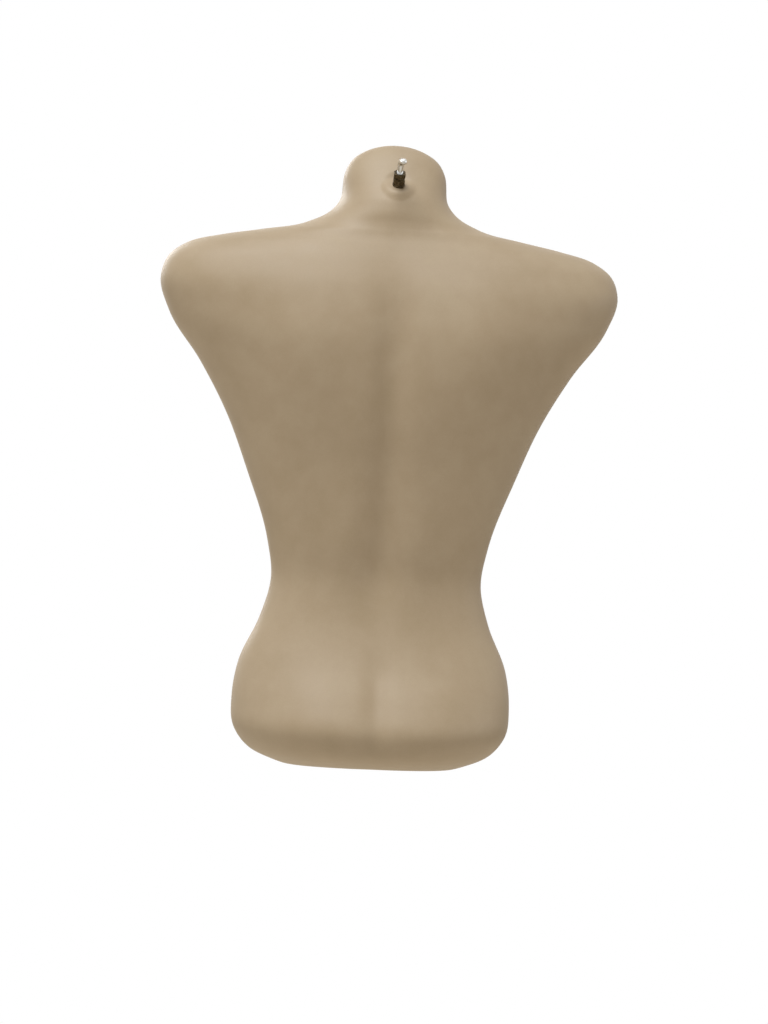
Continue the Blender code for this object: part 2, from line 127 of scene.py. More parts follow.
# Each section: height and half width as shares of the whole, depth of the back and of the front as shares
# of the fullest, and squareness (2 is an ellipse, more is boxier).
SECTIONS = {
    "sole_centre": (0.000, 0.000, 0.000, 0.000, 2.2),
    "sole_edge": (0.000, 0.345, 0.470, 0.390, 2.2),
    "under_roll": (0.009, 0.438, 0.700, 0.540, 2.2),
    "low_roll": (0.026, 0.532, 0.870, 0.650, 2.2),
    "hip_roll": (0.058, 0.596, 0.960, 0.720, 2.3),
    "hip": (0.104, 0.607, 0.850, 0.750, 2.3),
    "high_hip": (0.160, 0.586, 0.680, 0.740, 2.3),
    "flank": (0.236, 0.499, 0.525, 0.680, 2.3),
    "waist": (0.298, 0.459, 0.500, 0.640, 2.3),
    "low_ribs": (0.358, 0.483, 0.585, 0.650, 2.3),
    "ribs": (0.470, 0.588, 0.735, 0.750, 2.3),
    "low_chest": (0.557, 0.685, 0.870, 0.850, 2.3),
    "chest": (0.640, 0.812, 0.935, 0.900, 2.4),
    "armpit": (0.718, 0.957, 0.930, 0.850, 2.6),
    "shoulder": (0.772, 1.000, 0.860, 0.730, 2.8),
    "shoulder_top": (0.804, 0.972, 0.780, 0.610, 2.7),
    "shoulder_crown": (0.826, 0.896, 0.715, 0.540, 2.4),
    "slope_outer": (0.841, 0.757, 0.670, 0.500, 2.2),
    "slope_mid": (0.853, 0.583, 0.645, 0.475, 2.2),
    "slope_inner": (0.869, 0.382, 0.625, 0.460, 2.2),
    "neck_root": (0.893, 0.266, 0.610, 0.460, 2.2),
    "nape": (0.912, 0.231, 0.565, 0.475, 2.2),
    "neck": (0.928, 0.227, 0.475, 0.490, 2.2),
    "upper_neck": (0.950, 0.222, 0.380, 0.475, 2.2),
    "neck_crown": (0.974, 0.190, 0.280, 0.400, 2.2),
    "crown_edge": (0.992, 0.115, 0.165, 0.235, 2.2),
    "crown": (1.000, 0.000, 0.000, 0.000, 2.2),
}
FLAT_SECTIONS = 2  # the sole's centre and edge lie in one plane


# ---------------------------------------------------------------- the body's surface
def section_curve():
    """Knots, values and slopes of a cubic through the sections, by chord length of the outline.  The table is
    continued past both ends by its mirror image.
    """
    table = np.array(list(SECTIONS.values())) * [HEIGHT, HALF_SHOULDER, BACK_DEPTH, FRONT_DEPTH, 1.0]
    mirror = np.array([1.0, -1.0, -1.0, -1.0, 1.0])
    points = np.vstack([table[1] * mirror, table, table[-2] * mirror])
    chord = np.hypot(np.diff(points[:, 0]), np.diff(points[:, 1]))
    knots = np.concatenate([[0.0], np.cumsum(chord)])
    rise = np.diff(points, axis=0) / chord[:, None]
    before, after = chord[:-1, None], chord[1:, None]
    slopes = (rise[:-1] * after + rise[1:] * before) / (before + after)
    slopes[:FLAT_SECTIONS, 0] = 0.0
    slopes[-1, 0] = 0.0
    return knots[1:-1] - knots[1], table, slopes


KNOTS, TABLE, SLOPES = section_curve()


def hermite_section(along):
    """Height, half width, back depth, front depth and squareness, by the cubic between two knots."""
    span = np.clip(np.searchsorted(KNOTS, along, side="right") - 1, 0, len(KNOTS) - 2)
    length = KNOTS[span + 1] - KNOTS[span]
    t = ((along - KNOTS[span]) / length)[:, None]
    values = TABLE[span] * (2 * t**3 - 3 * t**2 + 1)
    values += SLOPES[span] * length[:, None] * (t**3 - 2 * t**2 + t)
    values += TABLE[span + 1] * (3 * t**2 - 2 * t**3)
    values += SLOPES[span + 1] * length[:, None] * (t**3 - t**2)
    return values


FINE_STEP = 0.5 * MM
FINE_ALONG = np.arange(0.0, KNOTS[-1] + FINE_STEP / 2, FINE_STEP)
EASE = 9 * MM  # half width of the averaging that takes the kinks in curvature out of the outline


def eased_sections():
    """The section curve averaged over a short stretch to either side, which shrinks to nothing at the sole's
    edge, the crown and wherever the outline ends, so that those keep their places.
    """
    room = np.minimum(np.abs(FINE_ALONG - KNOTS[1]), KNOTS[-1] - FINE_ALONG)
    reach = np.minimum(EASE, 0.6 * room)
    offsets = np.linspace(-1, 1, 15)
    weights = 0.5 + 0.5 * np.cos(math.pi * offsets)
    total = sum(
        weight * hermite_section(np.clip(FINE_ALONG + reach * offset, 0, KNOTS[-1]))
        for weight, offset in zip(weights, offsets)
    )
    return total / weights.sum()


FINE_SECTIONS = eased_sections()


def body_section(along):
    """Height, half width, back depth, front depth and squareness at distances along the outline."""
    return [np.interp(along, FINE_ALONG, column) for column in FINE_SECTIONS.T]


def mound(side, up, centre, spread):
    """A smooth mound of height 1 at centre, spread to either side of it, in shares of width and height."""
    return np.exp(-(((side - centre[0]) / spread[0]) ** 2) - ((up - centre[1]) / spread[1]) ** 2)


def groove(side, up, spread, low, high, soft):
    """A trough of depth 1 along the middle, between two heights, that ends softly."""
    ends = 1 / (1 + np.exp((low - up) / soft)) / (1 + np.exp((up - high) / soft))
    return -np.exp(-((side / spread) ** 2)) * ends


def back_relief(side, up):
    """Spine groove, shoulder blades, muscle columns beside the spine, buttocks and the cleft between them."""
    spine = 9 * MM * groove(side, up, 0.080, 0.290, 0.750, 0.032)
    cleft = 4 * MM * groove(side, up, 0.053, 0.010, 0.170, 0.016)
    blades = 8 * MM * mound(side, up, (0.369, 0.664), (0.213, 0.102))
    columns = 3 * MM * mound(side, up, (0.165, 0.345), (0.089, 0.105))
    buttocks = 5 * MM * mound(side, up, (0.280, 0.082), (0.187, 0.062))
    return spine + cleft + blades + columns + buttocks


def front_relief(side, up):
    """Breast muscles, breastbone groove, belly line, belly muscles and collar bones."""
    breastbone = 4 * MM * groove(side, up, 0.062, 0.566, 0.770, 0.020)
    belly_line = 2 * MM * groove(side, up, 0.044, 0.246, 0.557, 0.025)
    breasts = 8 * MM * mound(side, up, (0.333, 0.664), (0.222, 0.066))
    belly = 3 * MM * mound(side, up, (0.133, 0.443), (0.098, 0.107))
    collar_bones = 4 * MM * mound(side, up, (0.311, 0.820), (0.267, 0.015))
    return breastbone + belly_line + breasts + belly + collar_bones


def skin(along, angle, is_back):
    """Points of the outer skin at arrays of distance up the outline and angle round the section: x is
    w |cos|^(2/n), the depth is d |sin|^(2/n), and the relief is added to the depth, fading out at the rim.
    """
    height, width, back, front, square = body_section(along)
    cosine, sine = np.cos(angle), np.abs(np.sin(angle))
    x = width * np.sign(cosine) * np.abs(cosine) ** (2 / square)
    depth, muscles, facing = (back, back_relief, 1) if is_back else (front, front_relief, -1)
    fade = sine**1.5 * np.clip(depth / (0.4 * BACK_DEPTH), 0, 1) ** 2
    y = depth * sine ** (2 / square) + muscles(np.abs(x) / HALF_SHOULDER, height / HEIGHT) * fade
    return np.stack([x, PARTING + facing * (y + SEAM_GAP / 2), SOLE + height], axis=-1)


def skin_normals(along, angle, is_back):
    """Unit outward normals of the skin, by central differences.  At the rim they lie in the parting plane."""
    step = 0.02 * MM
    inside = np.clip(angle, 1e-5, math.pi - 1e-5)
    up = np.clip(along, step, KNOTS[-1] - step)
    d_along = skin(up + step, inside, is_back) - skin(up - step, inside, is_back)
    d_angle = skin(up, inside + 1e-5, is_back) - skin(up, inside - 1e-5, is_back)
    normal = np.cross(d_angle, d_along) if is_back else np.cross(d_along, d_angle)
    normal[along <= step] = (0, 0, -1)
    normal[along >= KNOTS[-1] - step] = (0, 0, 1)
    return normal / np.linalg.norm(normal, axis=-1, keepdims=True)


def smoothstep(value):
    """0 below 0, 1 above 1, and a smooth rise between."""
    value = np.clip(value, 0, 1)
    return value * value * (3 - 2 * value)


def levelled(points, level):
    """The points near the stem, moved along it onto a filleted flat at that height over the outer seat."""
    from_seat = points - SEAT
    over = from_seat @ STEM
    radius = np.linalg.norm(from_seat - over[..., None] * STEM, axis=-1)
    near = smoothstep((BOSS_RADIUS + BOSS_FILLET - radius) / BOSS_FILLET) * (np.abs(over) < 20 * MM)
    return points - ((over - level) * near)[..., None] * STEM


def stations(step, neck_step):
    """Distances along the outline, closer together round the boss in the neck."""
    neck_low, neck_high = np.interp([0.885, 0.960], FINE_SECTIONS[:, 0] / HEIGHT, FINE_ALONG)
    spans = ((0.0, neck_low, step), (neck_low, neck_high, neck_step), (neck_high, KNOTS[-1], step))
    runs = [np.linspace(a, b, max(2, round((b - a) / gap)), endpoint=False) for a, b, gap in spans]
    return np.concatenate([*runs, KNOTS[-1:]])


OUTER_COLUMNS = 150
INNER_COLUMNS = 44
RIM_STEPS = 4


def shell_loops(along, is_back):
    """One closed loop of points for each station: the outer skin from rim to rim, a rounded edge down to the
    parting plane, and the inner skin back, a wall's thickness inside the outer.
    """
    _, width, back, front, square = body_section(along)
    depth = back if is_back else front
    facing = 1 if is_back else -1
    rounding = np.minimum(RIM_RADIUS, 0.3 * np.minimum(depth, width))
    start = np.arcsin(np.clip(rounding / np.maximum(depth, 1e-9), 0, 0.3) ** (square / 2))
    share = np.linspace(0, 1, OUTER_COLUMNS + 1)
    angle = start[:, None] + (math.pi - 2 * start)[:, None] * share
    rows = np.broadcast_to(along[:, None], angle.shape)
    outer = skin(rows, angle, is_back)
    inner_angle = np.broadcast_to(np.linspace(math.pi, 0, INNER_COLUMNS + 1), (len(along), INNER_COLUMNS + 1))
    inner_rows = np.broadcast_to(along[:, None], inner_angle.shape)
    inner_normals = skin_normals(inner_rows, inner_angle, is_back)
    inner_normals[:, [0, -1], 1] = 0
    inner = skin(inner_rows, inner_angle, is_back) - WALL * inner_normals
    inner[..., 1] = PARTING + facing * np.maximum(facing * (inner[..., 1] - PARTING), SEAM_GAP / 2)
    inner[:, [0, -1], 1] = PARTING + facing * RIM_TOUCH
    if is_back:
        outer, inner = levelled(outer, 0.0), levelled(inner, -BOSS_THICK)
    turn = np.linspace(0, math.pi / 2, RIM_STEPS + 1)[1:]
    corners = []
    for column, inner_column in ((-1, 0), (0, -1)):
        inward = inner[:, inner_column] - outer[:, column]
        inward[:, 1] = 0
        inward /= np.maximum(np.linalg.norm(inward, axis=-1, keepdims=True), 1e-9)
        edge = outer[:, column, None] + (rounding[:, None] * (1 - np.cos(turn)))[..., None] * inward[:, None]
        drop = rounding[:, None] * np.sin(turn)
        reach = np.abs(outer[:, column, 1] - PARTING) - SEAM_GAP / 2
        edge[..., 1] = PARTING + facing * (SEAM_GAP / 2 + reach[:, None] - np.minimum(drop, reach[:, None]))
        corners.append(edge)
    return np.concatenate([outer, corners[0], inner, corners[1][:, ::-1]], axis=1)


# ---------------------------------------------------------------- putting surfaces into meshes
def grid_object(name, loops, material, caps=False, sharp=None, closed_along=False):
    """An object from rows of points, each row a closed loop; quads join a row to the next.  caps closes the
    first and last rows with a face each.
    """
    rows, around = loops.shape[:2]
    last = rows if closed_along else rows - 1
    row, step = np.meshgrid(np.arange(last), np.arange(around), indexing="ij")
    right, above = (step + 1) % around, (row + 1) % rows
    faces = np.stack(
        [row * around + step, row * around + right, above * around + right, above * around + step], axis=-1
    )
    faces = faces.reshape(-1, 4).tolist()
    if caps:
        faces.append(list(range(around))[::-1])
        faces.append([(rows - 1) * around + step for step in range(around)])
    mesh = bpy.data.meshes.new(name)
    mesh.from_pydata(loops.reshape(-1, 3).tolist(), [], faces)
    weld_and_face_out(mesh)
    mesh.shade_smooth()
    if sharp is not None:
        mesh.set_sharp_from_angle(angle=math.radians(sharp))
    made = bpy.data.objects.new(name, mesh)
    bpy.context.scene.collection.objects.link(made)
    mesh.materials.append(material)
    return made


def weld_and_face_out(mesh):
    """Coincident points, such as a pole's, are made one, and the faces are turned outwards."""

    work = bmesh.new()
    work.from_mesh(mesh)
    bmesh.ops.remove_doubles(work, verts=work.verts, dist=1e-6)
    bmesh.ops.dissolve_degenerate(work, edges=work.edges, dist=1e-7)
    bmesh.ops.recalc_face_normals(work, faces=work.faces)
    work.to_mesh(mesh)
    work.free()


def ride(piece, body, slot, *nodes):
    """The piece moves with that body and stands for those CAD nodes; slot is not used."""
    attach(piece, body)
    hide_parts(*nodes)


def on_stem(across, bent, height):
    """Points at those distances square to the stem and along it, measured from the outer seat."""
    return SEAT + across[..., None] * ACROSS + bent[..., None] * BENT + height[..., None] * STEM


def turned_loops(profile, turns):
    """Rows round the stem's axis: each is the profile, a closed list of radius and height, at that turn."""
    radius, height = np.array(profile).T
    turns = turns[:, None]
    return on_stem(radius * np.cos(turns), radius * np.sin(turns), height + 0 * turns)


# ---------------------------------------------------------------- hardware shapes
def hex_radii(turns):
    """Distance from a nut's middle to its side in each direction, with the corners slightly rounded."""
    off_side = (turns + math.pi / 6) % (math.pi / 3) - math.pi / 6
    return np.minimum(NUT_FLATS / 2 / np.cos(off_side), NUT_FLATS / 2 / math.cos(math.radians(28.5)))


def nut(name, low, thick, material, body_slot, node, collar=0.0, downwards=False):
    """A chamfered hexagon nut between two heights on the stem: each section's corner drops by the chamfer's
    30 degrees as its radius passes the round face's.  A collar is a self-locking nut's round top.
    """
    turns = np.linspace(0, 2 * math.pi, 144, endpoint=False)
    radius = hex_radii(turns)
    face_radius = NUT_FLATS * 0.475
    drop = (radius - face_radius) * math.tan(math.radians(30))
    hex_top = thick - collar
    one = np.ones_like(turns)
    edge, bore_edge = 0.12 * MM, 0.45 * MM
    profile = [
        (NUT_BORE * one, bore_edge * one),
        ((NUT_BORE + bore_edge) * one, 0 * one),
        (face_radius * one, 0 * one),
        (radius - edge, drop - edge * 0.5),
        (radius, drop + edge),
        (radius, hex_top - drop - edge),
        (radius - edge, hex_top - drop + edge * 0.5),
        (face_radius * one, hex_top * one),
    ]
    if collar:
        bend = np.linspace(0, math.pi / 2, 6)
        round_edge = 0.9 * MM
        for angle in bend:
            r = face_radius * 0.94 - round_edge * (1 - math.cos(angle))
            profile.append((r * one, (thick - round_edge * (1 - math.sin(angle))) * one))
    profile += [((NUT_BORE + bore_edge) * one, thick * one), (NUT_BORE * one, (thick - bore_edge) * one)]
    radii = np.stack([r for r, _ in profile], axis=1)
    heights = np.stack([h for _, h in profile], axis=1)
    heights = low - heights if downwards else low + heights
    turn = turns[:, None]
    loops = on_stem(radii * np.cos(turn), radii * np.sin(turn), heights)
    made = grid_object(name, loops, material, sharp=24, closed_along=True)
    ride(made, *body_slot, node)
    return made


def washer(name, low, radius, material, node):
    """A pressed flat washer: a rounded upper edge, a sharper lower one, and a small chamfer in the bore."""
    edge, lower = 0.45 * MM, 0.15 * MM
    profile = [(WASHER_BORE, lower), (WASHER_BORE + lower, 0), (radius - lower, 0), (radius, lower)]
    for angle in np.linspace(0, math.pi / 2, 5):
        height = WASHER_THICK - edge * (1 - math.sin(angle))
        profile.append((radius - edge * (1 - math.cos(angle)), height))
    profile += [(WASHER_BORE + lower, WASHER_THICK), (WASHER_BORE, WASHER_THICK - lower)]
    profile = [(r, low + h) for r, h in profile]
    loops = turned_loops(profile, np.linspace(0, 2 * math.pi, 96, endpoint=False))
    made = grid_object(name, loops, material, sharp=30, closed_along=True)
    ride(made, "torso", "zinc_steel", node)
    return made


def spring_washer(low, material):
    """A split ring of trapezoid section with a slanted cut, sprung open by a little at its ends."""
    slit, slant = math.radians(8), math.radians(9)
    turns = np.linspace(slit / 2, 2 * math.pi - slit / 2, 120)
    rise = 0.12 * MM * (turns / math.pi - 1)
    inner, outer, thick, edge = WASHER_BORE, SPRING_WASHER_RADIUS, 1.36 * MM, 0.15 * MM
    profile = [
        (inner, edge), (inner + edge, 0), (outer - edge, 0), (outer, edge),
        (outer, thick - edge), (outer - edge, thick), (inner + edge, thick), (inner, thick - edge),
    ]  # fmt: skip
    radius, height = np.array(profile).T
    lean = turns[:, None] + slant * (height / thick - 0.5)
    heights = low + 0.12 * MM + rise[:, None] + height
    loops = on_stem(radius * np.cos(lean), radius * np.sin(lean), heights)
    made = grid_object("split_washer", loops, material, caps=True, sharp=30)
    ride(made, "hook", "darkened_steel", "spring_washer")
    return made


def backing_plate(material):
    """A square plate with rounded corners and a hole: rows round the stem, from hole to edge and back."""
    turns = np.linspace(0, 2 * math.pi, 120, endpoint=False)
    half, corner = PLATE_SIDE / 2, 5 * MM
    reach = half - corner
    power = 8  # a superellipse this square has corners of about that radius
    radius = half / (np.abs(np.cos(turns)) ** power + np.abs(np.sin(turns)) ** power) ** (1 / power)
    radius = np.minimum(radius, math.hypot(reach, reach) + corner)
    one = np.ones_like(turns)
    edge, top = 0.2 * MM, -BOSS_THICK - SEAT_GAP
    profile = [
        (HOLE_RADIUS * one, -PLATE_THICK), (radius - edge, -PLATE_THICK), (radius, -PLATE_THICK + edge),
        (radius, -edge), (radius - edge, 0.0), (HOLE_RADIUS * one, 0.0),
    ]  # fmt: skip
    radii = np.stack([r for r, _ in profile], axis=1)
    heights = np.array([h for _, h in profile]) + top + 0 * turns[:, None]
    loops = on_stem(radii * np.cos(turns[:, None]), radii * np.sin(turns[:, None]), heights)
    made = grid_object("steel_plate", loops, material, sharp=30, closed_along=True)
    ride(made, "torso", "zinc_steel", "backing_plate")
    return made


def hook_centreline():
    """Stations along the hook: distance from the foot, height on the stem, distance to the bent side, the
    bar's turn from the stem, the foot's height and the bar's whole length.
    """
    stack = PLATE_THICK + WASHER_THICK + NUT_THICK + LOCK_NUT_THICK + 4 * SEAT_GAP
    foot = -BOSS_THICK - stack - STEM_SPARE
    turn = STEM_ELEVATION - ARM_ELEVATION
    bend_start = STEM_OUT - BEND_RADIUS * math.tan(turn / 2)
    stem_length = bend_start - foot
    threaded = THREAD_TOP - foot
    thread_rows = np.arange(0, threaded, THREAD_PITCH / 10)
    plain_rows = np.linspace(threaded, stem_length, 16, endpoint=False)
    bend_rows = stem_length + np.linspace(0, 1, 28, endpoint=False) * turn * BEND_RADIUS
    arm = ARM_LENGTH - BEND_RADIUS * math.tan(turn / 2)
    total = stem_length + turn * BEND_RADIUS + arm
    arm_rows = np.linspace(stem_length + turn * BEND_RADIUS, total - ROD_RADIUS, 16, endpoint=False)
    dome = total - ROD_RADIUS * (1 - np.sin(np.linspace(0, 0.985, 14) * math.pi / 2))
    along = np.concatenate([thread_rows, plain_rows, bend_rows, arm_rows, dome])
    angle = np.clip((along - stem_length) / BEND_RADIUS, 0, turn)
    past = np.maximum(along - stem_length - turn * BEND_RADIUS, 0)
    height = np.minimum(foot + along, bend_start) + BEND_RADIUS * np.sin(angle) + past * math.cos(turn)
    bent = BEND_RADIUS * (1 - np.cos(angle)) + past * math.sin(turn)
    return along, height, bent, angle, foot, total


def hook(material):
    """A round bar along the centreline with a rolled thread on its lower part: the radius falls from the
    crest to the root and back once a pitch, turned by the direction round the bar, and eases out at both ends.
    """
    along, height, bent, angle, foot, total = hook_centreline()
    turns = np.linspace(0, 2 * math.pi, 40, endpoint=False)[None, :]
    rows = along[:, None]
    phase = (rows / THREAD_PITCH - turns / (2 * math.pi)) % 1.0
    wave = np.clip(np.abs(phase - 0.5) * 2.6 - 0.15, 0, 1)
    strength = smoothstep(rows / (2 * MM)) * smoothstep((THREAD_TOP - foot - rows) / (2.5 * MM))
    radius = ROD_RADIUS - THREAD_DEPTH * (1 - wave) * strength
    radius = radius * (0.80 + 0.20 * smoothstep(rows / (1.2 * MM)))
    from_tip = np.clip((rows - (total - ROD_RADIUS)) / ROD_RADIUS, 0, 1)
    radius = radius * np.sqrt(np.maximum(1 - from_tip**2, 0))
    lean = angle[:, None]
    side = radius * np.cos(turns)
    lift = radius * np.sin(turns)
    loops = on_stem(side, bent[:, None] + lift * np.cos(lean), height[:, None] - lift * np.sin(lean))
    made = grid_object("threaded_hook", loops, material, caps=True, sharp=50)
    ride(made, "hook", "chromed_rod", "hook")
    return made


# ---------------------------------------------------------------- materials
def linear(hex_colour):
    """An sRGB hex colour as linear red, green, blue and alpha."""
    parts = [int(hex_colour[i : i + 2], 16) / 255 for i in (1, 3, 5)]
    return [c / 12.92 if c <= 0.04045 else ((c + 0.055) / 1.055) ** 2.4 for c in parts] + [1.0]


def add(tree, kind, inputs=(), **settings):
    """A node of that kind with its settings; inputs maps a socket's name or number to a value or a socket."""
    made = tree.nodes.new(kind)
    for name, value in settings.items():
        setattr(made, name, value)
    for name, value in dict(inputs).items():
        if isinstance(value, bpy.types.NodeSocket):
            tree.links.new(value, made.inputs[name])
        else:
            made.inputs[name].default_value = value
    return made


def new_material(name):
    """A material with only a Principled shader and its output, and its Object coordinates."""
    made = bpy.data.materials.new(name)
    made.use_nodes = True
    tree = made.node_tree
    shader = tree.nodes["Principled BSDF"]
    where = add(tree, "ShaderNodeTexCoord").outputs["Object"]
    return made, tree, shader, where


def ramp(tree, value, *stops):
    """A colour ramp through (position, hex colour) stops."""
    made = add(tree, "ShaderNodeValToRGB", {"Fac": value})
    elements = made.color_ramp.elements
    while len(elements) < len(stops):
        elements.new(0.5)
    for element, (position, colour) in zip(elements, stops):
        element.position = position
        element.color = linear(colour)
    return made.outputs["Color"]


def noise(tree, where, size, detail=2.0, roughness=0.5):
    """Noise whose features are about that many metres across."""
    inputs = {"Vector": where, "Scale": 1 / size, "Detail": detail, "Roughness": roughness}
    return add(tree, "ShaderNodeTexNoise", inputs).outputs["Fac"]


def span(tree, value, low, high, to_low, to_high):
    """The value moved from one range to another, held at its ends."""
    inputs = {"Value": value, "From Min": low, "From Max": high, "To Min": to_low, "To Max": to_high}
    return add(tree, "ShaderNodeMapRange", inputs).outputs["Result"]


def moulded_polypropylene():
    """Skin-toned moulded polypropylene: a satin surface with a fine spark-eroded grain, faint flow marks from
    the mould and a few rubbed, smoother places, so that highlights are broad and slightly uneven.
    """
    made, tree, shader, where = new_material("moulded_polypropylene")
    flow = noise(tree, where, 90 * MM, detail=3.0)
    cloud = noise(tree, where, 22 * MM, detail=4.0, roughness=0.6)
    tone = add(tree, "ShaderNodeMath", {0: flow, 1: cloud}, operation="ADD").outputs[0]
    tone = span(tree, tone, 0.7, 1.3, 0, 1)
    colour = ramp(tree, tone, (0.0, "#af9c80"), (0.5, "#b3a085"), (1.0, "#b7a58a"))
    grain = noise(tree, where, 0.9 * MM, detail=1.0)
    specks = ramp(tree, grain, (0.3, "#8a7559"), (0.7, "#cdbda5"))
    speck = add(tree, "ShaderNodeMix", {"Factor": 0.05, 6: colour, 7: specks}, data_type="RGBA")
    rubbed = span(tree, cloud, 0.35, 0.7, 0.50, 0.60)
    ripple = noise(tree, where, 35 * MM, detail=1.0)
    ripple_bump = add(tree, "ShaderNodeBump", {"Strength": 0.15, "Distance": 0.4 * MM, "Height": ripple})
    bump_inputs = {"Strength": 0.22, "Distance": 0.05 * MM, "Height": grain, "Normal": ripple_bump.outputs[0]}
    tree.links.new(speck.outputs[2], shader.inputs["Base Color"])
    tree.links.new(rubbed, shader.inputs["Roughness"])
    tree.links.new(add(tree, "ShaderNodeBump", bump_inputs).outputs[0], shader.inputs["Normal"])
    shader.inputs["IOR"].default_value = 1.49
    return made


def chromed_steel():
    """Bright chrome over drawn steel rod: mirror-like, with fine drawing marks and a few dull spots."""
    made, tree, shader, where = new_material("chromed_steel")
    spots = noise(tree, where, 2.5 * MM, detail=3.0)
    colour = ramp(tree, spots, (0.30, "#c9c9c6"), (0.62, "#dcdcda"), (0.85, "#a9a59b"))
    fine = noise(tree, where, 0.35 * MM, detail=1.0)
    tree.links.new(colour, shader.inputs["Base Color"])
    tree.links.new(span(tree, spots, 0.3, 0.8, 0.10, 0.26), shader.inputs["Roughness"])
    marks = add(tree, "ShaderNodeBump", {"Strength": 0.12, "Distance": 0.02 * MM, "Height": fine})
    tree.links.new(marks.outputs[0], shader.inputs["Normal"])
    shader.inputs["Metallic"].default_value = 1.0
    return made


def shade_painted_steel():
    """Dark brown steel for the nuts: the dark brown is painted shade and a painted reflection of the beige
    neck, paler where worn to bare metal, with an oily gloss.
    """
    made, tree, shader, where = new_material("shade_painted_steel")
    patches = noise(tree, where, 1.8 * MM, detail=5.0, roughness=0.65)
    # The two dark brown stops are painted shade and a painted reflection of the beige neck; the pale stop is
    # bare metal where worn.
    colour = ramp(tree, patches, (0.35, "#3a3124"), (0.58, "#574b36"), (0.74, "#8f8877"))
    tree.links.new(colour, shader.inputs["Base Color"])
    tree.links.new(span(tree, patches, 0.3, 0.8, 0.46, 0.26), shader.inputs["Roughness"])
    pits = noise(tree, where, 0.5 * MM, detail=2.0)
    pitted = add(tree, "ShaderNodeBump", {"Strength": 0.2, "Distance": 0.04 * MM, "Height": pits})
    tree.links.new(pitted.outputs[0], shader.inputs["Normal"])
    shader.inputs["Metallic"].default_value = 1.0
    return made


def zinc_plated_steel():
    """Zinc-plated pressed steel: pale grey with soft bluish and straw patches and a brushed dullness."""
    made, tree, shader, where = new_material("zinc_plated_steel")
    patches = noise(tree, where, 4 * MM, detail=3.0)
    colour = ramp(tree, patches, (0.3, "#8f9294"), (0.55, "#a7a69f"), (0.8, "#b3ab93"))
    tree.links.new(colour, shader.inputs["Base Color"])
    tree.links.new(span(tree, patches, 0.3, 0.75, 0.28, 0.42), shader.inputs["Roughness"])
    press = noise(tree, where, 0.6 * MM, detail=2.0)
    pressed = add(tree, "ShaderNodeBump", {"Strength": 0.15, "Distance": 0.03 * MM, "Height": press})
    tree.links.new(pressed.outputs[0], shader.inputs["Normal"])
    shader.inputs["Metallic"].default_value = 1.0
    return made


# ---------------------------------------------------------------- building the object
def hole_through_boss(shell):
    """The stem's hole, cut along the stem through the back shell's boss."""
    turns = np.linspace(0, 2 * math.pi, 64, endpoint=False)[None, :]
    heights = np.array([-20 * MM, 12 * MM])[:, None] + 0 * turns
    across, bent = HOLE_RADIUS * np.cos(turns) + 0 * heights, HOLE_RADIUS * np.sin(turns) + 0 * heights
    loops = on_stem(across, bent, heights)
    drill = grid_object("drill", loops, shell.data.materials[0], caps=True)
    cut = shell.modifiers.new("hole", "BOOLEAN")
    cut.object, cut.operation, cut.solver = drill, "DIFFERENCE", "EXACT"
    bpy.context.view_layer.update()
    cut_mesh = bpy.data.meshes.new_from_object(shell.evaluated_get(bpy.context.evaluated_depsgraph_get()))
    shell.modifiers.clear()
    shell.data = cut_mesh
    bpy.data.objects.remove(drill)


def build_shells(plastic):
    """The two fine half shells, in place of the faceted ones."""
    back = grid_object("back_half", shell_loops(stations(3.2 * MM, 1.3 * MM), True), plastic)
    hole_through_boss(back)
    ride(back, "torso", "moulded_shell", "back_shell")
    front = grid_object("front_half", shell_loops(stations(3.4 * MM, 2.4 * MM), False), plastic)
    ride(front, "torso", "moulded_shell", "front_shell")
    return back, front


def build_hardware(chrome, dark, zinc):
    """The hook and its stack: washer, nut, split washer, nut outside; plate, washer, two nuts inside."""
    hook(chrome)
    height = SEAT_GAP
    washer("seat_washer", height, WASHER_RADIUS, dark, "outer_washer")
    height += WASHER_THICK + SEAT_GAP
    nut("seat_nut", height, NUT_THICK, dark, ("hook", "darkened_steel"), "outer_nut")
    height += NUT_THICK + SEAT_GAP
    spring_washer(height - 0.1 * MM, dark)
    height += WASHER_THICK + SEAT_GAP
    nut("jam_nut", height, NUT_THICK, dark, ("hook", "darkened_steel"), "outer_lock_nut")
    backing_plate(zinc)
    height = -BOSS_THICK - PLATE_THICK - 2 * SEAT_GAP
    washer("plate_washer", height - WASHER_THICK, BIG_WASHER_RADIUS, zinc, "inner_washer")
    height -= WASHER_THICK + SEAT_GAP + NUT_THICK
    nut("plate_nut", height, NUT_THICK, dark, ("hook", "darkened_steel"), "inner_nut")
    height -= SEAT_GAP
    slot = ("hook", "darkened_steel")
    nut("self_locking_nut", height, LOCK_NUT_THICK, dark, slot, "inner_lock_nut", LOCK_COLLAR, True)


